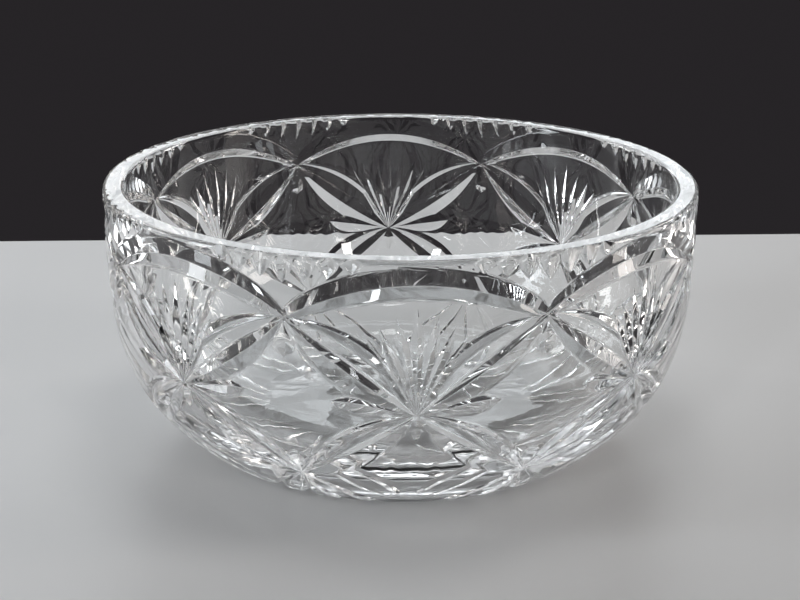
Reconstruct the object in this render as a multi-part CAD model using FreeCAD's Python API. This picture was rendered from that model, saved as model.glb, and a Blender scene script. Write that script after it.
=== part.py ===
"""Large cut-crystal punch bowl: one solid piece of heavy colourless glass.

The wall is smooth inside and carries a wheel-cut pattern outside.  The pattern
repeats in eight sectors of 45 degrees.  Three rows of star points are joined by
pointed V cuts: an upper and a lower row on the sector borders, and a middle row
on the sector centres, each middle star carrying a fan of seven rays.  Short V
notches hang from the rim above every upper star.  The foot is plain and flat.

Units are millimetres.  The origin is the centre of the flat foot and +Z is up.
One sector centre faces -Y.
"""
import FreeCAD, Part
import math
import os

# Overall form
RIM_RADIUS = 140.0
HEIGHT = 130.0
RIM_ROUNDING = 2.2

# Outer wall: the radius falls from the rim's by two powers of the relative depth,
# a slow one that rounds the body in and a steep one that rolls it under to the foot.
# The same curve goes on a little below the foot, for the cuts that run out past its edge
BODY_FALL = 50.0
BODY_POWER = 4.33
FOOT_FALL = 16.0
FOOT_POWER = 86.0
BELOW_FOOT = 1.2

# Inner wall: a second superellipse that ends in the floor of the bowl
INNER_RADIUS = 130.0
INNER_REACH = 119.0
INNER_DEPTH_POWER = 4.2
INNER_RADIUS_POWER = 3.2

# Star points, as angle from the sector centre (degrees) and depth below the rim
SECTORS = 8
HALF_SECTOR = 180.0 / SECTORS
UPPER_STAR_DEPTH = 26.5
MIDDLE_STAR_DEPTH = 66.5
LOWER_STAR_DEPTH = 102.0

# V cuts: how far a groove runs on past its star, and the cutter's clearance
OVERRUN = 1.6
LIFT = 1.0
TIP_LIFT = 0.12
SPINE_STATIONS = 9

# Arch from one upper star to the next
ARCH_RISE = 15.6
ARCH_UPPER_FACET = 8.0
ARCH_LOWER_FACET = 5.0
ARCH_DEPTH = 2.6
ARCH_POWER = 6.0
ARCH_OVERRUN = 8.0
ARCH_PINCH = 0.65

# Paired leaves that join one star to the next.  Each leaf is
# (bulge, facet width on the bulging side, facet width on the other side, depth)
UPPER_LINK = [(11.0, 2.8, 2.8, 1.6), (-3.0, 5.5, 6.0, 3.0)]
LOWER_LINK = [(8.0, 2.8, 2.8, 1.6), (-3.0, 5.0, 6.0, 2.8)]
FOOT_LINK = [(6.6, 2.9, 2.9, 1.7), (-7.0, 3.2, 3.2, 1.8)]
FOOT_LINK_ANGLE = 4.0
FOOT_LINK_OVERRUN = 12.0

# Fan of rays above every middle star: (angle from vertical, length, width)
FAN_RAYS = [
    (0.0, 48.0, 5.4),
    (11.0, 45.5, 5.2),
    (21.5, 43.0, 5.0),
    (30.5, 41.0, 4.8),
]
FAN_DEPTH = 1.9

# Short petals: (angle from vertical, length, width, depth, skew towards the far end)
MIDDLE_PETALS = [
    (81.0, 36.0, 8.5, 2.2, 1.8),
    (180.0, 13.0, 6.0, 1.8, 1.0),
]
UPPER_PETALS = [(180.0, 17.0, 9.0, 2.2, 2.0)]
LOWER_PETALS = [(0.0, 17.0, 8.5, 2.1, 2.0)]

# Rim notches on both sides of an upper star: (angle from the star, length)
RIM_NOTCHES = [
    (0.0, 12.0),
    (3.9, 10.5),
    (7.8, 8.5),
    (11.7, 6.5),
]
NOTCH_WIDTH = 8.4
NOTCH_DEPTH = 2.4

# Fineness of the model: points along each side of the profile, depth step of the wall's
# run table, half step for the wall's slope, and how near (degrees) a cutter has to be
PROFILE_STATIONS = 36
RUN_STEP = 0.25
SLOPE_STEP = 0.2
NEAR_ANGLE = 12.0
PLANE_TOLERANCE = 1e-4


def outer_radius(depth):
    """Radius of the uncut outer wall at a depth below the rim."""
    share = max(depth, 0.0) / HEIGHT
    return RIM_RADIUS - BODY_FALL * share ** BODY_POWER - FOOT_FALL * share ** FOOT_POWER


def build_run_table():
    """List (run, depth): run is the distance along the outer wall from the rim."""
    table = [(0.0, 0.0)]
    run = 0.0
    depth = 0.0
    while depth < HEIGHT + BELOW_FOOT:
        lower = depth + RUN_STEP
        run += math.hypot(RUN_STEP, outer_radius(lower) - outer_radius(depth))
        depth = lower
        table.append((run, depth))
    return table


RUN_TABLE = build_run_table()


def interpolate(value, table, key, result):
    """Linear look-up of table column result against table column key."""
    for low, high in zip(table, table[1:]):
        if value <= high[key]:
            share = (value - low[key]) / (high[key] - low[key])
            return low[result] + share * (high[result] - low[result])
    return table[-1][result]


def run_at(depth):
    """Distance along the outer wall from the rim to a depth."""
    return interpolate(depth, RUN_TABLE, 1, 0)


def depth_at(run):
    """Depth below the rim at a distance along the outer wall."""
    if run <= 0.0:
        return run
    return interpolate(run, RUN_TABLE, 0, 1)


def wall_point(angle, run, out):
    """Point at an angle and run on the outer wall, moved out along its normal."""
    depth = depth_at(run)
    radius = outer_radius(depth)
    fall = outer_radius(depth + SLOPE_STEP) - outer_radius(depth - SLOPE_STEP)
    slope = 0.5 * fall / SLOPE_STEP
    length = math.hypot(1.0, slope)
    reach = radius + out / length
    level = HEIGHT - depth + out * slope / length
    turn = math.radians(angle)
    return FreeCAD.Vector(reach * math.sin(turn), -reach * math.cos(turn), level)


def swell(share, power):
    """Bulge that is 0 at both ends of a cut and 1 in the middle."""
    return 1.0 - abs(2.0 * share - 1.0) ** power


def solid_from_rails(rails):
    """Close three rails (left edge, groove, right edge) into a wedge-shaped solid."""
    edges = []
    for points in rails:
        curve = Part.BSplineCurve()
        curve.interpolate(points)
        edges.append(curve.toShape())
    faces = [Part.makeRuledSurface(edges[i], edges[(i + 1) % 3]) for i in range(3)]
    for end in (0, -1):
        corners = [points[end] for points in rails]
        outline = Part.makePolygon(corners + corners[:1])
        faces.append(Part.Face(outline))
    shell = Part.makeShell(faces)
    shell.sewShape()
    solid = Part.Solid(shell)
    if solid.Volume < 0.0:
        solid.reverse()
    return solid


def wall_cut(start, end, bulge, left, right, depth, power=2.0, pinch=0.0, skew=1.0):
    """V cut between two (angle, run) points on the outer wall.

    The groove bows sideways by bulge; left and right are the facet widths, left
    being the side the groove bows towards when bulge is positive.  A skew above 1
    moves the deepest place towards the end, as in a drop.
    """
    middle_radius = outer_radius(depth_at(0.5 * (start[1] + end[1])))
    across = math.radians(end[0] - start[0]) * middle_radius
    down = end[1] - start[1]
    length = math.hypot(across, down)
    side_across = down / length
    side_down = -across / length
    rails = ([], [], [])
    for station in range(SPINE_STATIONS):
        share = station / (SPINE_STATIONS - 1.0)
        angle = start[0] + share * (end[0] - start[0])
        run = start[1] + share * (end[1] - start[1])
        groove_out = TIP_LIFT - (depth + TIP_LIFT) * swell(share ** skew, power)
        bow = bulge * swell(share, 2.0)
        narrowing = 1.0 - pinch * (1.0 - swell(share, 2.0))
        opening = (LIFT - groove_out) / depth
        offsets = (
            (bow + left * opening, LIFT),
            (bow, groove_out),
            (bow - right * opening * narrowing, LIFT),
        )
        local_radius = outer_radius(depth_at(run))
        for rail, (offset, out) in zip(rails, offsets):
            shift = math.degrees(offset * side_across / local_radius)
            rail.append(wall_point(angle + shift, run + offset * side_down, out))
    return solid_from_rails(rails)


def petal(star, tilt, length, width, depth, skew=1.0):
    """Straight symmetric cut that leaves a star at a tilt from vertical."""
    turn = math.radians(tilt)
    middle_run = star[1] - 0.5 * length * math.cos(turn)
    local_radius = outer_radius(depth_at(middle_run))
    along_angle = math.degrees(math.sin(turn) / local_radius)
    start = (star[0] - OVERRUN * along_angle, star[1] + OVERRUN * math.cos(turn))
    end = (star[0] + length * along_angle, star[1] - length * math.cos(turn))
    return wall_cut(start, end, 0.0, 0.5 * width, 0.5 * width, depth, skew=skew)


def link(start, end, bow_side, leaves):
    """The pair of leaves that joins two stars.

    bow_side is +1 or -1 and says to which side a positive bulge goes.
    """
    radius = outer_radius(depth_at(0.5 * (start[1] + end[1])))
    across = math.radians(end[0] - start[0]) * radius
    down = end[1] - start[1]
    extra = OVERRUN / math.hypot(across, down)
    first = tuple(a - extra * (b - a) for a, b in zip(start, end))
    last = tuple(b + extra * (b - a) for a, b in zip(start, end))
    cuts = []
    for bulge, outside, inside, depth in leaves:
        left, right = (outside, inside) if bow_side > 0 else (inside, outside)
        cuts.append(wall_cut(first, last, bow_side * bulge, left, right, depth))
    return cuts


def sector_cuts(centre):
    """All outer cuts that belong to the sector with the given centre angle."""
    upper_run = run_at(UPPER_STAR_DEPTH)
    middle = (centre, run_at(MIDDLE_STAR_DEPTH))
    cuts = []

    arch_half = math.radians(HALF_SECTOR) * RIM_RADIUS
    grown = (arch_half + ARCH_OVERRUN) / arch_half
    arch_drop = ARCH_RISE * (grown ** 2 - 1.0)
    arch_start = (centre - grown * HALF_SECTOR, upper_run + arch_drop)
    arch_end = (centre + grown * HALF_SECTOR, upper_run + arch_drop)
    cuts.append(wall_cut(arch_start, arch_end, ARCH_RISE + arch_drop,
                         ARCH_UPPER_FACET, ARCH_LOWER_FACET, ARCH_DEPTH,
                         ARCH_POWER, ARCH_PINCH))

    for tilt, length, width in FAN_RAYS:
        cuts.append(petal(middle, tilt, length, width, FAN_DEPTH))
        if tilt > 0.0:
            cuts.append(petal(middle, -tilt, length, width, FAN_DEPTH))
    for tilt, *shape in MIDDLE_PETALS:
        cuts.append(petal(middle, tilt, *shape))
        if tilt < 180.0:
            cuts.append(petal(middle, -tilt, *shape))

    for side in (1, -1):
        border = centre + side * HALF_SECTOR
        upper = (border, upper_run)
        lower = (border, run_at(LOWER_STAR_DEPTH))
        foot = (centre + side * FOOT_LINK_ANGLE, run_at(HEIGHT) + FOOT_LINK_OVERRUN)
        cuts.extend(link(middle, upper, side, UPPER_LINK))
        cuts.extend(link(middle, lower, side, LOWER_LINK))
        cuts.extend(link(lower, foot, side, FOOT_LINK))
    return cuts


def border_cuts(border):
    """All outer cuts centred on a sector border: petals and rim notches."""
    upper = (border, run_at(UPPER_STAR_DEPTH))
    lower = (border, run_at(LOWER_STAR_DEPTH))
    cuts = [petal(upper, *values) for values in UPPER_PETALS]
    cuts.extend(petal(lower, *values) for values in LOWER_PETALS)

    half = 0.5 * NOTCH_WIDTH
    for offset, length in RIM_NOTCHES:
        for side in ((1,) if offset == 0.0 else (1, -1)):
            angle = border + side * offset
            cuts.append(wall_cut((angle, -length), (angle, length), 0.0,
                                 half, half, NOTCH_DEPTH))
    return cuts


def profile_face():
    """Half cross-section of the uncut bowl in the XZ plane."""
    outer = []
    wall_run = run_at(HEIGHT) - RIM_ROUNDING
    for index in range(PROFILE_STATIONS + 1):
        depth = depth_at(RIM_ROUNDING + wall_run * (1.0 - index / PROFILE_STATIONS))
        outer.append(FreeCAD.Vector(outer_radius(depth), 0.0, HEIGHT - depth))
    outer[0].z = 0.0
    inner = []
    top_share = math.asin((RIM_ROUNDING / INNER_REACH) ** (0.5 * INNER_DEPTH_POWER))
    for index in range(PROFILE_STATIONS + 1):
        turn = top_share + (0.5 * math.pi - top_share) * index / PROFILE_STATIONS
        radius = INNER_RADIUS * max(math.cos(turn), 0.0) ** (2.0 / INNER_RADIUS_POWER)
        depth = INNER_REACH * math.sin(turn) ** (2.0 / INNER_DEPTH_POWER)
        inner.append(FreeCAD.Vector(radius, 0.0, HEIGHT - depth))
    inner[-1].x = 0.0

    outer_curve = Part.BSplineCurve()
    outer_curve.interpolate(outer)
    inner_curve = Part.BSplineCurve()
    inner_curve.interpolate(inner)
    diagonal = RIM_ROUNDING * (1.0 - math.sqrt(0.5))
    outer_top = FreeCAD.Vector(RIM_RADIUS - RIM_ROUNDING, 0.0, HEIGHT)
    outer_mid = FreeCAD.Vector(RIM_RADIUS - diagonal, 0.0, HEIGHT - diagonal)
    inner_top = FreeCAD.Vector(INNER_RADIUS + RIM_ROUNDING, 0.0, HEIGHT)
    inner_mid = FreeCAD.Vector(INNER_RADIUS + diagonal, 0.0, HEIGHT - diagonal)
    foot_centre = FreeCAD.Vector(0.0, 0.0, 0.0)
    edges = [
        outer_curve.toShape(),
        Part.Arc(outer[-1], outer_mid, outer_top).toShape(),
        Part.makeLine(outer_top, inner_top),
        Part.Arc(inner_top, inner_mid, inner[0]).toShape(),
        inner_curve.toShape(),
        Part.makeLine(inner[-1], foot_centre),
        Part.makeLine(foot_centre, outer[0]),
    ]
    return Part.Face(Part.Wire(edges))


def uncut_wedge():
    """Half a sector of the uncut bowl, from the sector centre to its border."""
    face = profile_face()
    axis = FreeCAD.Vector(0.0, 0.0, 1.0)
    face.rotate(FreeCAD.Vector(0.0, 0.0, 0.0), axis, -90.0)
    return face.revolve(FreeCAD.Vector(0.0, 0.0, 0.0), axis, HALF_SECTOR)


def near_wedge(cutter):
    """True when a cutter has a corner or its middle close to the half sector."""
    points = [vertex.Point for vertex in cutter.Vertexes] + [cutter.BoundBox.Center]
    angles = [math.degrees(math.atan2(point.x, -point.y)) for point in points]
    return any(-NEAR_ANGLE <= angle <= HALF_SECTOR + NEAR_ANGLE for angle in angles)


def lies_on_side_plane(face):
    """True for the two flat faces left where the half sector was sliced."""
    for angle in (0.0, HALF_SECTOR):
        turn = math.radians(angle)
        normal = FreeCAD.Vector(math.cos(turn), math.sin(turn), 0.0)
        points = [vertex.Point for vertex in face.Vertexes] + [face.CenterOfMass]
        if all(abs(point.dot(normal)) < PLANE_TOLERANCE for point in points):
            return True
    return False


def build_bowl():
    """Cut half a sector, then mirror and turn its skin round the whole bowl."""
    wedge = uncut_wedge()
    cutters = sector_cuts(0.0) + sector_cuts(2.0 * HALF_SECTOR)
    cutters.extend(border_cuts(HALF_SECTOR))
    for cutter in cutters:
        if near_wedge(cutter):
            wedge = wedge.cut(cutter)

    skin = Part.makeCompound([f for f in wedge.Faces if not lies_on_side_plane(f)])
    origin = FreeCAD.Vector(0.0, 0.0, 0.0)
    mirrored = skin.mirror(origin, FreeCAD.Vector(1.0, 0.0, 0.0))
    faces = []
    for sector in range(SECTORS):
        for half in (skin, mirrored):
            turned = half.copy()
            turned.rotate(origin, FreeCAD.Vector(0.0, 0.0, 1.0), sector * 360.0 / SECTORS)
            faces.extend(turned.Faces)
    shell = Part.makeShell(faces)
    shell.sewShape()
    bowl = Part.Solid(shell)
    if bowl.Volume < 0.0:
        bowl.reverse()
    return bowl


os.makedirs("parts", exist_ok=True)
bowl = build_bowl()
print("valid:", bowl.isValid(), "closed:", bowl.isClosed(), "litres:", bowl.Volume * 1e-6)
bowl.exportStep("parts/bowl.step")
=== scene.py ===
"""Looks of the cut-crystal punch bowl: its glass, a pale floor, soft lights and the camera.

The bowl is built again here as a finer mesh than the CAD node, with the same
dimensions.  Half a sector is cut out of a smooth wedge by V-shaped cutters, then
mirrored and turned round the whole bowl.  Lengths of the bowl are in millimetres
until its mesh is made; everything else is in metres.
"""

import math

import bmesh
import bpy
import numpy as np
from mathutils import Matrix, Vector


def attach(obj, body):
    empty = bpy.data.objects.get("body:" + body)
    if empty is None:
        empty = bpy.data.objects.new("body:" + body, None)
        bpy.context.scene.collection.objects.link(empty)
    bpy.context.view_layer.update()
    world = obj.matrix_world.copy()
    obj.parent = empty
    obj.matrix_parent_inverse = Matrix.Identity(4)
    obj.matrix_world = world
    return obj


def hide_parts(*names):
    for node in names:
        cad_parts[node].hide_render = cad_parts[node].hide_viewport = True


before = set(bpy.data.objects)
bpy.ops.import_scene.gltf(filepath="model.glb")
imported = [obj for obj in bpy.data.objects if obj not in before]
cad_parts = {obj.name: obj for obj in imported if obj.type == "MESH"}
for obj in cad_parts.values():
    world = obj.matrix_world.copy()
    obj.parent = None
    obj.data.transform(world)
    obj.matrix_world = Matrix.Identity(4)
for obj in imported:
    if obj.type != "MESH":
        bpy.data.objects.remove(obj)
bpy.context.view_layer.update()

MM = 0.001

# Overall form of the bowl.  The wall's curve goes on a little below the foot, for the
# cuts that run out past its edge
RIM_RADIUS = 140.0
HEIGHT = 130.0
RIM_ROUNDING = 2.2
BODY_FALL = 50.0
BODY_POWER = 4.33
FOOT_FALL = 16.0
FOOT_POWER = 86.0
BELOW_FOOT = 1.25
INNER_RADIUS = 130.0
INNER_REACH = 119.0
INNER_DEPTH_POWER = 4.2
INNER_RADIUS_POWER = 3.2

# Star points, as angle from the sector centre (degrees) and depth below the rim
SECTORS = 8
HALF_SECTOR = 180.0 / SECTORS
UPPER_STAR_DEPTH = 26.5
MIDDLE_STAR_DEPTH = 66.5
LOWER_STAR_DEPTH = 102.0

# V cuts: how far a groove runs on past its star, the cutter's clearance over the wall
# and at its tips, and the distance between its stations and their least number
OVERRUN = 1.6
LIFT = 1.0
TIP_LIFT = 0.12
STATION_STEP = 2.6
LEAST_STATIONS = 8

# Softness of the cuts: half width of the rounded groove and its largest share of a
# facet, width of the soft edge and its largest share of the cut, the least rise of a
# facet, and the height and flatness of the brim that the soft edge has outside the wall
GROOVE_HALF = 0.3
GROOVE_SHARE = 0.4
SOFT_EDGE = 1.1
SOFT_SHARE = 0.35
LEAST_RISE = 0.02
BRIM = 0.12
BRIM_FLATNESS = 2.0

# Arch from one upper star to the next
ARCH_RISE = 15.6
ARCH_UPPER_FACET = 8.0
ARCH_LOWER_FACET = 5.0
ARCH_DEPTH = 2.6
ARCH_POWER = 6.0
ARCH_OVERRUN = 8.0
ARCH_PINCH = 0.65

# Paired leaves that join one star to the next.  Each leaf is
# (bulge, facet width on the bulging side, facet width on the other side, depth)
UPPER_LINK = [(11.0, 2.8, 2.8, 1.6), (-3.0, 5.5, 6.0, 3.0)]
LOWER_LINK = [(8.0, 2.8, 2.8, 1.6), (-3.0, 5.0, 6.0, 2.8)]
FOOT_LINK = [(6.6, 2.9, 2.9, 1.7), (-7.0, 3.2, 3.2, 1.8)]
FOOT_LINK_ANGLE = 4.0
FOOT_LINK_OVERRUN = 12.0

# Fan of rays above every middle star: (angle from vertical, length, width)
FAN_RAYS = [
    (0.0, 48.0, 5.4),
    (11.0, 45.5, 5.2),
    (21.5, 43.0, 5.0),
    (30.5, 41.0, 4.8),
]
FAN_DEPTH = 1.9

# Short petals: (angle from vertical, length, width, depth, skew towards the far end)
MIDDLE_PETALS = [
    (81.0, 36.0, 8.5, 2.2, 1.8),
    (180.0, 13.0, 6.0, 1.8, 1.0),
]
UPPER_PETALS = [(180.0, 17.0, 9.0, 2.2, 2.0)]
LOWER_PETALS = [(0.0, 17.0, 8.5, 2.1, 2.0)]

# Rim notches on both sides of an upper star: (angle from the star, length)
RIM_NOTCHES = [
    (0.0, 12.0),
    (3.9, 10.5),
    (7.8, 8.5),
    (11.7, 6.5),
]
NOTCH_WIDTH = 8.4
NOTCH_DEPTH = 2.4

# Mesh resolution: step of the wall's run table, half step for the wall's slope, degrees
# between wall stations, and mm or counts along the profile
DEPTH_STEP = 0.05
SLOPE_STEP = 0.2
ANGLE_STEP = 1.5
WALL_STEP = 1.8
FOOT_STEP = 0.6
FOOT_ZONE = 24.0
INNER_STATIONS = 48
ROUNDING_STATIONS = 5
FLOOR_STATIONS = 14

# How near a cut has to be to the half sector (degrees), the thickness of its slicing
# planes and the distance within which the sectors' points join (metres)
NEAR_ANGLE = 3.0
SLICE_DISTANCE = 1e-7
WELD_DISTANCE = 2e-6

# Corners of one surface that differ by more than this from its mean stay flat
CREASE_LIMIT = math.radians(14.0)

# Surface numbers carried by the faces; cutters take the numbers after these
OUTER_WALL = 0
SMOOTH_SKIN = 1
UNDERSIDE = 2
FIRST_CUT = 3

# Surfaces of a cut, counted from its own first number
LEFT_FACET = 0
RIGHT_FACET = 1
GROOVE = 2
LEFT_EDGE = 3
RIGHT_EDGE = 4
CUT_SURFACES = 5

# Lead crystal, and the faint waviness that polishing leaves: waves per metre, strength
# and height in metres
GLASS_COLOUR = (0.985, 0.99, 0.99, 1.0)
GLASS_IOR = 1.545
WAVE_SCALE = 70.0
WAVE_DETAIL = 1.0
WAVE_STRENGTH = 0.5
WAVE_HEIGHT = 0.00012

# Camera: aim point and distance in metres, angles in degrees, lens in millimetres
CAMERA_AIM = (0.0, 0.0, 0.0662)
CAMERA_DISTANCE = 0.740
CAMERA_AZIMUTH = -2.9
CAMERA_ELEVATION = 18.95
CAMERA_ROLL = 0.3
CAMERA_LENS = 67.86
SENSOR_WIDTH = 36.0

# Stage: floor edges (left, right, front, back) and how far it lies under the foot, so
# that the two don't coincide; lights as (name, place, width, height, power in watts,
# colour); and the dim colour all round
FLOOR_EDGES = (-1.5, 1.5, -1.5, 0.33)
FLOOR_GAP = 0.0003
FLOOR_COLOUR = (0.62, 0.62, 0.62)
FLOOR_ROUGHNESS = 0.45
LIGHT_TARGET = (0.0, 0.0, 0.06)
LIGHTS = [
    ("back", (-0.2, 1.25, 0.82), 1.8, 0.85, 11.0, (0.93, 0.97, 1.0)),
    ("top", (0.05, -0.05, 1.15), 0.3, 0.3, 1.8, (1.0, 1.0, 1.0)),
    ("left", (-1.2, -0.3, 0.5), 0.25, 0.7, 4.5, (0.92, 0.96, 1.0)),
    ("right", (1.2, -0.2, 0.5), 0.25, 0.7, 4.0, (1.0, 0.93, 0.88)),
    ("front_left", (-0.45, -1.1, 0.75), 0.1, 0.3, 2.2, (0.95, 0.97, 1.0)),
    ("front_right", (0.55, -1.2, 0.60), 0.1, 0.3, 2.2, (1.0, 0.97, 0.94)),
    ("left_strip", (-0.9, 0.6, 0.35), 0.1, 0.8, 2.5, (1.0, 1.0, 1.0)),
    ("right_strip", (0.9, 0.6, 0.35), 0.1, 0.8, 2.5, (1.0, 0.95, 0.9)),
]
SURROUNDINGS = (0.020, 0.018, 0.020, 1.0)

# How often light may cross the glass, and how often it may be reflected
GLASS_BOUNCES = 24
GLOSS_BOUNCES = 12


def outer_radius(depth):
    """Radius of the uncut outer wall at a depth below the rim."""
    share = np.maximum(depth, 0.0) / HEIGHT
    return RIM_RADIUS - BODY_FALL * share ** BODY_POWER - FOOT_FALL * share ** FOOT_POWER


# Depths below the rim, and the distance along the outer wall to each of them
DEPTHS = np.arange(0.0, HEIGHT + BELOW_FOOT, DEPTH_STEP)
RUN_STEPS = np.hypot(np.diff(DEPTHS), np.diff(outer_radius(DEPTHS)))
RUNS = np.concatenate(([0.0], np.cumsum(RUN_STEPS)))


def run_at(depth):
    """Distance along the outer wall from the rim to a depth."""
    return float(np.interp(depth, DEPTHS, RUNS))


def depth_at(run):
    """Depth below the rim at a distance along the outer wall."""
    return np.where(run < 0.0, run, np.interp(run, RUNS, DEPTHS))


def wall_normal(depth):
    """Outward and upward parts of the outer wall's unit normal at a depth."""
    fall = outer_radius(depth + SLOPE_STEP) - outer_radius(depth - SLOPE_STEP)
    slope = fall / (2.0 * SLOPE_STEP)
    length = np.hypot(1.0, slope)
    return 1.0 / length, slope / length


def around(angle, reach, level):
    """Points at angles (degrees from -Y), distances from the axis and heights."""
    turn = np.radians(angle)
    parts = np.broadcast_arrays(reach * np.sin(turn), -reach * np.cos(turn), level)
    return np.stack(parts, axis=-1)


def wall_points(angle, run, out):
    """Points at angles and runs on the outer wall, moved out along its normal."""
    depth = depth_at(run)
    outward, upward = wall_normal(depth)
    return around(angle, outer_radius(depth) + out * outward, HEIGHT - depth + out * upward)


def swell(share, power):
    """Bulge that is 0 at both ends of a cut and 1 in the middle."""
    return 1.0 - np.abs(2.0 * share - 1.0) ** power


def section(groove_out, left, right, depth):
    """Cross-section of a V cut as eight (offset, out) pairs from left to right.

    The two facets meet in a narrow rounded groove, and a narrow soft edge leads from
    each facet out to the wall.  left and right are the facet widths at full depth.
    """
    sides = []
    for width in (left, right):
        slope = depth / width
        soft = np.minimum(SOFT_EDGE, SOFT_SHARE * np.maximum(-groove_out, 0.0) / slope)
        shoulder_out = np.maximum(-soft * slope, groove_out + LEAST_RISE)
        shoulder = (shoulder_out - groove_out) / slope
        groove = np.minimum(GROOVE_HALF, GROOVE_SHARE * shoulder)
        brim_out = np.maximum(shoulder_out, 0.0) + BRIM
        brim = shoulder + (brim_out - shoulder_out) * BRIM_FLATNESS / slope
        sides.append([
            (brim, LIFT),
            (brim, brim_out),
            (shoulder, shoulder_out),
            (groove, groove_out + groove * slope),
        ])
    return sides[0] + [(-offset, out) for offset, out in reversed(sides[1])]


def wall_cut(start, end, bulge, left, right, depth, power=2.0, pinch=0.0, skew=1.0):
    """Rails of a V cut between two (angle, run) points on the outer wall.

    The groove bows sideways by bulge, towards its left side when bulge is positive.
    A skew above 1 moves the deepest place towards the end, as in a drop.
    """
    middle_radius = outer_radius(depth_at(0.5 * (start[1] + end[1])))
    across = math.radians(end[0] - start[0]) * middle_radius
    down = end[1] - start[1]
    length = math.hypot(across, down)
    stations = max(int(length / STATION_STEP), LEAST_STATIONS) + 1
    share = np.linspace(0.0, 1.0, stations)
    angle = start[0] + share * (end[0] - start[0])
    run = start[1] + share * down
    groove_out = TIP_LIFT - (depth + TIP_LIFT) * swell(share ** skew, power)
    bow = bulge * swell(share, 2.0)
    narrowing = 1.0 - pinch * (1.0 - swell(share, 2.0))
    local_radius = outer_radius(depth_at(run))
    rails = []
    for offset, out in section(groove_out, left, right * narrowing, depth):
        shift = np.degrees((bow + offset) * down / length / local_radius)
        rails.append(wall_points(angle + shift, run - (bow + offset) * across / length, out))
    return rails


def petal(star, tilt, length, width, depth, skew=1.0):
    """Straight symmetric cut that leaves a star at a tilt from vertical."""
    turn = math.radians(tilt)
    middle_run = star[1] - 0.5 * length * math.cos(turn)
    along_angle = math.degrees(math.sin(turn) / outer_radius(depth_at(middle_run)))
    start = (star[0] - OVERRUN * along_angle, star[1] + OVERRUN * math.cos(turn))
    end = (star[0] + length * along_angle, star[1] - length * math.cos(turn))
    return wall_cut(start, end, 0.0, 0.5 * width, 0.5 * width, depth, skew=skew)


def link(start, end, bow_side, leaves):
    """The pair of leaves that joins two stars; bow_side is where a positive bulge goes."""
    radius = outer_radius(depth_at(0.5 * (start[1] + end[1])))
    across = math.radians(end[0] - start[0]) * radius
    extra = OVERRUN / math.hypot(across, end[1] - start[1])
    first = tuple(a - extra * (b - a) for a, b in zip(start, end))
    last = tuple(b + extra * (b - a) for a, b in zip(start, end))
    cuts = []
    for bulge, outside, inside, depth in leaves:
        left, right = (outside, inside) if bow_side > 0 else (inside, outside)
        cuts.append(wall_cut(first, last, bow_side * bulge, left, right, depth))
    return cuts


def sector_cuts(centre):
    """All outer cuts that belong to the sector with the given centre angle."""
    upper_run = run_at(UPPER_STAR_DEPTH)
    middle = (centre, run_at(MIDDLE_STAR_DEPTH))

    arch_half = math.radians(HALF_SECTOR) * RIM_RADIUS
    grown = (arch_half + ARCH_OVERRUN) / arch_half
    arch_drop = ARCH_RISE * (grown ** 2 - 1.0)
    arch_start = (centre - grown * HALF_SECTOR, upper_run + arch_drop)
    arch_end = (centre + grown * HALF_SECTOR, upper_run + arch_drop)
    cuts = [wall_cut(arch_start, arch_end, ARCH_RISE + arch_drop, ARCH_UPPER_FACET,
                     ARCH_LOWER_FACET, ARCH_DEPTH, ARCH_POWER, ARCH_PINCH)]

    rays = [(tilt, length, width, FAN_DEPTH, 1.0) for tilt, length, width in FAN_RAYS]
    for tilt, *shape in rays + MIDDLE_PETALS:
        for side in ((1,) if tilt in (0.0, 180.0) else (1, -1)):
            cuts.append(petal(middle, side * tilt, *shape))

    for side in (1, -1):
        border = centre + side * HALF_SECTOR
        upper = (border, upper_run)
        lower = (border, run_at(LOWER_STAR_DEPTH))
        foot = (centre + side * FOOT_LINK_ANGLE, run_at(HEIGHT) + FOOT_LINK_OVERRUN)
        cuts.extend(link(middle, upper, side, UPPER_LINK))
        cuts.extend(link(middle, lower, side, LOWER_LINK))
        cuts.extend(link(lower, foot, side, FOOT_LINK))
    return cuts


def border_cuts(border):
    """All outer cuts centred on a sector border: petals and rim notches."""
    upper = (border, run_at(UPPER_STAR_DEPTH))
    lower = (border, run_at(LOWER_STAR_DEPTH))
    cuts = [petal(upper, *values) for values in UPPER_PETALS]
    cuts.extend(petal(lower, *values) for values in LOWER_PETALS)
    half = 0.5 * NOTCH_WIDTH
    for offset, length in RIM_NOTCHES:
        for side in ((1,) if offset == 0.0 else (1, -1)):
            angle = border + side * offset
            cuts.append(wall_cut((angle, -length), (angle, length), 0.0, half, half, NOTCH_DEPTH))
    return cuts


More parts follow.
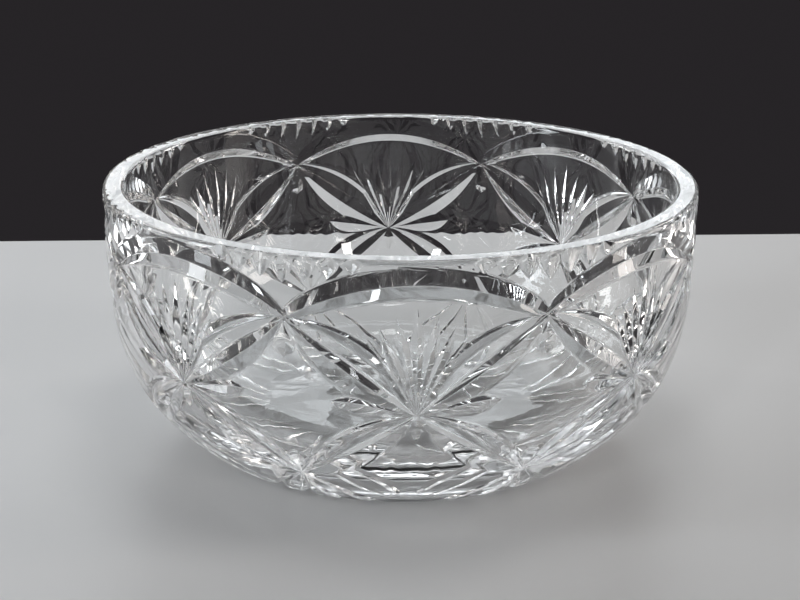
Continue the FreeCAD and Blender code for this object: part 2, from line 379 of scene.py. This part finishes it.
def profile():
    """Closed cross-section as (radius, height) points, and the surface number of each run."""
    full_run = run_at(HEIGHT)
    runs = np.concatenate((
        np.arange(full_run, full_run - FOOT_ZONE, -FOOT_STEP),
        np.linspace(full_run - FOOT_ZONE, RIM_ROUNDING,
                    int((full_run - FOOT_ZONE) / WALL_STEP)),
    ))
    depths = depth_at(runs)
    outer = list(zip(outer_radius(depths), HEIGHT - depths))

    turns = np.linspace(0.0, 0.5 * math.pi, ROUNDING_STATIONS + 1)
    middle = HEIGHT - RIM_ROUNDING
    rim = [(RIM_RADIUS - RIM_ROUNDING * (1.0 - math.cos(t)), middle + RIM_ROUNDING * math.sin(t))
           for t in turns[1:]]
    rim += [(INNER_RADIUS + RIM_ROUNDING * (1.0 - math.cos(t)), middle + RIM_ROUNDING * math.sin(t))
            for t in turns[:0:-1]]

    top = math.asin((RIM_ROUNDING / INNER_REACH) ** (0.5 * INNER_DEPTH_POWER))
    inner = []
    for t in np.linspace(top, 0.5 * math.pi, INNER_STATIONS):
        radius = INNER_RADIUS * max(math.cos(t), 0.0) ** (2.0 / INNER_RADIUS_POWER)
        depth = INNER_REACH * math.sin(t) ** (2.0 / INNER_DEPTH_POWER)
        inner.append((radius, HEIGHT - depth))
    inner[-1] = (0.0, HEIGHT - INNER_REACH)

    foot_radius = outer[0][0]
    foot = [(foot_radius * i / FLOOR_STATIONS, 0.0) for i in range(FLOOR_STATIONS)]
    points = outer + rim + inner + foot
    surfaces = ([OUTER_WALL] * (len(outer) - 1) + [SMOOTH_SKIN] * (len(rim) + len(inner) + 1)
                + [UNDERSIDE] * len(foot))
    return points, surfaces[:len(points)]


def mesh_object(name, points, faces, surfaces):
    """A mesh object in metres whose faces carry their surface numbers."""
    mesh = bpy.data.meshes.new(name)
    mesh.from_pydata([Vector(point) * MM for point in points], [], faces)
    tags = mesh.attributes.new("surface", "INT", "FACE")
    tags.data.foreach_set("value", surfaces)
    bm = bmesh.new()
    bm.from_mesh(mesh)
    bmesh.ops.recalc_face_normals(bm, faces=bm.faces)
    bm.to_mesh(mesh)
    bm.free()
    made = bpy.data.objects.new(name, mesh)
    bpy.context.scene.collection.objects.link(made)
    return made


def wedge_object():
    """The uncut bowl from a little before the sector centre to a little past its border."""
    points, surfaces = profile()
    angles = np.arange(-1.0, HALF_SECTOR / ANGLE_STEP + 1.5) * ANGLE_STEP
    places = []
    index = {}
    for i, (radius, level) in enumerate(points):
        for j, angle in enumerate(angles):
            if radius > 0.0 or j == 0:
                index[i, j] = len(places)
                places.append(around(angle, radius, level))
            else:
                index[i, j] = index[i, 0]
    faces = []
    tags = []
    for i, surface in enumerate(surfaces):
        after = (i + 1) % len(points)
        for j in range(len(angles) - 1):
            corners = [index[i, j], index[after, j], index[after, j + 1], index[i, j + 1]]
            face = list(dict.fromkeys(corners))
            if len(face) > 2:
                faces.append(face)
                tags.append(surface)
    for j in (0, len(angles) - 1):
        faces.append([index[i, j] for i in range(len(points))])
        tags.append(SMOOTH_SKIN)
    return mesh_object("wedge", places, faces, tags)


def cutter_object(rails, surface):
    """Closed solid from its rails; surface is the number of its left facet."""
    count = len(rails[0])
    # Surface of the strip after each rail; the other strips stay outside the wall
    numbers = {1: LEFT_EDGE, 2: LEFT_FACET, 3: GROOVE, 4: RIGHT_FACET, 5: RIGHT_EDGE}
    faces = []
    tags = []
    for side in range(len(rails)):
        first = side * count
        second = (side + 1) % len(rails) * count
        for i in range(count - 1):
            faces.append((first + i, second + i, second + i + 1))
            faces.append((first + i, second + i + 1, first + i + 1))
            tags.extend([surface + numbers.get(side, 0)] * 2)
    for i in (0, count - 1):
        faces.append([side * count + i for side in range(len(rails))])
        tags.append(surface)
    return mesh_object("cutter", np.concatenate(rails), faces, tags)


def near_wedge(rails):
    """True when a cut comes close to the half sector."""
    places = np.concatenate(rails)
    angles = np.degrees(np.arctan2(places[:, 0], -places[:, 1]))
    return bool(np.any((angles > -NEAR_ANGLE) & (angles < HALF_SECTOR + NEAR_ANGLE)))


def cut_half_sector():
    """Skin of half a sector as a bmesh, open along its two side planes."""
    wedge = wedge_object()
    cuts = sector_cuts(0.0) + sector_cuts(2.0 * HALF_SECTOR) + border_cuts(HALF_SECTOR)
    cutters = []
    for rails in cuts:
        if near_wedge(rails):
            cutter = cutter_object(rails, FIRST_CUT + CUT_SURFACES * len(cutters))
            cutters.append(cutter)
            boolean = wedge.modifiers.new("cut", "BOOLEAN")
            boolean.operation = "DIFFERENCE"
            boolean.solver = "MANIFOLD"
            boolean.object = cutter
    graph = bpy.context.evaluated_depsgraph_get()
    skin = bmesh.new()
    skin.from_mesh(wedge.evaluated_get(graph).to_mesh())
    for used in [wedge] + cutters:
        bpy.data.objects.remove(used, do_unlink=True)
    for angle, outside in ((0.0, -1.0), (HALF_SECTOR, 1.0)):
        turn = math.radians(angle)
        normal = Vector((math.cos(turn), math.sin(turn), 0.0)) * outside
        bmesh.ops.bisect_plane(skin, geom=skin.verts[:] + skin.edges[:] + skin.faces[:],
                               dist=SLICE_DISTANCE, plane_co=(0.0, 0.0, 0.0), plane_no=normal,
                               clear_outer=True)
    return skin


def bowl_object():
    """The whole bowl: half a sector mirrored and turned into place sixteen times."""
    skin = cut_half_sector()
    bmesh.ops.triangulate(skin, faces=skin.faces)
    half = bpy.data.meshes.new("half")
    skin.to_mesh(half)
    skin.free()

    whole = bmesh.new()
    for sector in range(SECTORS):
        for mirrored in (False, True):
            turn = Matrix.Rotation(sector * 2.0 * math.pi / SECTORS, 4, "Z")
            flip = Matrix.Scale(-1.0, 4, (1.0, 0.0, 0.0)) if mirrored else Matrix.Identity(4)
            first = len(whole.faces)
            whole.from_mesh(half)
            whole.faces.ensure_lookup_table()
            added = [whole.faces[i] for i in range(first, len(whole.faces))]
            places = {vertex for face in added for vertex in face.verts}
            bmesh.ops.transform(whole, matrix=turn @ flip, verts=list(places))
            if mirrored:
                bmesh.ops.reverse_faces(whole, faces=added)
    bmesh.ops.remove_doubles(whole, verts=whole.verts, dist=WELD_DISTANCE)

    # Slivers that hang on an edge as a third face, and the bare edge left on the axis
    fins = [face for face in whole.faces
            if {1, 3} <= {len(edge.link_faces) for edge in face.edges}]
    bmesh.ops.delete(whole, geom=fins, context="FACES")
    wires = [edge for edge in whole.edges if not edge.link_faces]
    bmesh.ops.delete(whole, geom=wires, context="EDGES")
    mesh = bpy.data.meshes.new("crystal_bowl")
    whole.to_mesh(mesh)
    whole.free()
    made = bpy.data.objects.new("crystal_bowl", mesh)
    bpy.context.scene.collection.objects.link(made)
    return made


def shade_bowl(mesh):
    """Store corner normals that keep facets crisp and roll smoothly over their soft edges.

    They are exact on the outer wall and area-weighted within every other surface.  A
    rounded groove or soft edge takes the normals of the two surfaces that it joins.
    """
    faces = len(mesh.polygons)
    corners = len(mesh.loops)
    surface = np.zeros(faces, dtype=np.int64)
    mesh.attributes["surface"].data.foreach_get("value", surface)
    normals = np.zeros(faces * 3)
    mesh.polygons.foreach_get("normal", normals)
    normals = normals.reshape(-1, 3)
    areas = np.zeros(faces)
    mesh.polygons.foreach_get("area", areas)
    vertex = np.zeros(corners, dtype=np.int64)
    mesh.loops.foreach_get("vertex_index", vertex)
    places = np.zeros(len(mesh.vertices) * 3)
    mesh.vertices.foreach_get("co", places)
    face_of_corner = np.repeat(np.arange(faces), 3)
    corner_surface = surface[face_of_corner]
    corner_normal = normals[face_of_corner]

    spread = surface.max() + 1
    key = vertex * spread + corner_surface
    keys, group = np.unique(key, return_inverse=True)
    sums = np.zeros((len(keys), 3))
    np.add.at(sums, group, corner_normal * areas[face_of_corner][:, None])

    on_wall = keys % spread == OUTER_WALL
    spot = places.reshape(-1, 3)[keys[on_wall] // spread]
    outward, upward = wall_normal(HEIGHT - spot[:, 2] / MM)
    away = spot[:, :2] / np.linalg.norm(spot[:, :2], axis=1)[:, None]
    sums[on_wall] = np.column_stack((away * outward[:, None], upward))
    sums /= np.maximum(np.linalg.norm(sums, axis=1), 1e-20)[:, None]

    smooth = sums[group]
    astray = np.einsum("ij,ij->i", smooth, corner_normal) < math.cos(CREASE_LIMIT)
    smooth[astray] = corner_normal[astray]

    kind = (corner_surface - FIRST_CUT) % CUT_SURFACES
    cut_start = corner_surface - kind
    is_cut = corner_surface >= FIRST_CUT
    for soft, parents in (
        (GROOVE, (LEFT_FACET, RIGHT_FACET)),
        (LEFT_EDGE, (None, LEFT_FACET)),
        (RIGHT_EDGE, (None, RIGHT_FACET)),
    ):
        chosen = np.flatnonzero(is_cut & (kind == soft))
        for parent in parents:
            number = OUTER_WALL if parent is None else cut_start[chosen] + parent
            wanted = vertex[chosen] * spread + number
            found = np.minimum(np.searchsorted(keys, wanted), len(keys) - 1)
            match = keys[found] == wanted
            smooth[chosen[match]] = sums[found[match]]
    mesh.shade_smooth()
    mesh.normals_split_custom_set(smooth)


def crystal_material():
    """Colourless lead crystal, with a faint waviness left by polishing."""
    material = bpy.data.materials.new("lead_crystal")
    material.use_nodes = True
    nodes = material.node_tree.nodes
    links = material.node_tree.links
    shader = nodes["Principled BSDF"]
    shader.inputs["Base Color"].default_value = GLASS_COLOUR
    shader.inputs["Transmission Weight"].default_value = 1.0
    shader.inputs["IOR"].default_value = GLASS_IOR
    shader.inputs["Roughness"].default_value = 0.0

    place = nodes.new("ShaderNodeTexCoord")
    waves = nodes.new("ShaderNodeTexNoise")
    waves.inputs["Scale"].default_value = WAVE_SCALE
    waves.inputs["Detail"].default_value = WAVE_DETAIL
    bump = nodes.new("ShaderNodeBump")
    bump.inputs["Strength"].default_value = WAVE_STRENGTH
    bump.inputs["Distance"].default_value = WAVE_HEIGHT
    links.new(place.outputs["Object"], waves.inputs["Vector"])
    links.new(waves.outputs["Fac"], bump.inputs["Height"])
    links.new(bump.outputs["Normal"], shader.inputs["Normal"])
    return material


def plain_material(name, colour, roughness):
    """Even, opaque material of one colour."""
    material = bpy.data.materials.new(name)
    material.use_nodes = True
    shader = material.node_tree.nodes["Principled BSDF"]
    shader.inputs["Base Color"].default_value = (*colour, 1.0)
    shader.inputs["Roughness"].default_value = roughness
    return material


def add_floor():
    """Plain pale table top that ends a little way behind the bowl."""
    left, right, front, back = FLOOR_EDGES
    mesh = bpy.data.meshes.new("floor")
    corners = [(left, front), (right, front), (right, back), (left, back)]
    mesh.from_pydata([(x, y, -FLOOR_GAP) for x, y in corners], [], [(0, 1, 2, 3)])
    floor = bpy.data.objects.new("floor", mesh)
    bpy.context.scene.collection.objects.link(floor)
    mesh.materials.append(plain_material("floor", FLOOR_COLOUR, FLOOR_ROUGHNESS))


def add_light(name, place, width, height, power, colour):
    """Rectangular soft light that faces the bowl."""
    data = bpy.data.lights.new(name, "AREA")
    data.shape = "RECTANGLE"
    data.size = width
    data.size_y = height
    data.energy = power
    data.color = colour
    light = bpy.data.objects.new(name, data)
    light.location = place
    facing = Vector(LIGHT_TARGET) - Vector(place)
    light.rotation_euler = facing.to_track_quat("-Z", "Y").to_euler()
    bpy.context.scene.collection.objects.link(light)


def add_camera():
    """Camera that looks at the aim point from its azimuth and elevation."""
    data = bpy.data.cameras.new("camera")
    data.sensor_width = SENSOR_WIDTH
    data.lens = CAMERA_LENS
    camera = bpy.data.objects.new("camera", data)
    turn = math.radians(CAMERA_AZIMUTH)
    lift = math.radians(CAMERA_ELEVATION)
    back = Vector((math.sin(turn) * math.cos(lift), -math.cos(turn) * math.cos(lift),
                   math.sin(lift)))
    camera.location = Vector(CAMERA_AIM) + back * CAMERA_DISTANCE
    roll = Matrix.Rotation(math.radians(CAMERA_ROLL), 4, "Z").to_quaternion()
    camera.rotation_mode = "QUATERNION"
    camera.rotation_quaternion = (-back).to_track_quat("-Z", "Y") @ roll
    bpy.context.scene.collection.objects.link(camera)
    bpy.context.scene.camera = camera


def set_world():
    """Dim even surroundings, and light paths long enough for cut glass."""
    world = bpy.data.worlds.new("world")
    world.use_nodes = True
    world.node_tree.nodes["Background"].inputs["Color"].default_value = SURROUNDINGS
    scene = bpy.context.scene
    scene.world = world
    scene.cycles.max_bounces = GLASS_BOUNCES
    scene.cycles.transmission_bounces = GLASS_BOUNCES
    scene.cycles.glossy_bounces = GLOSS_BOUNCES
    scene.view_settings.view_transform = "Standard"


bowl = bowl_object()
shade_bowl(bowl.data)
bowl.data.materials.append(crystal_material())
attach(bowl, "root")
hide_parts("bowl")

add_camera()
add_floor()
for light in LIGHTS:
    add_light(*light)
set_world()
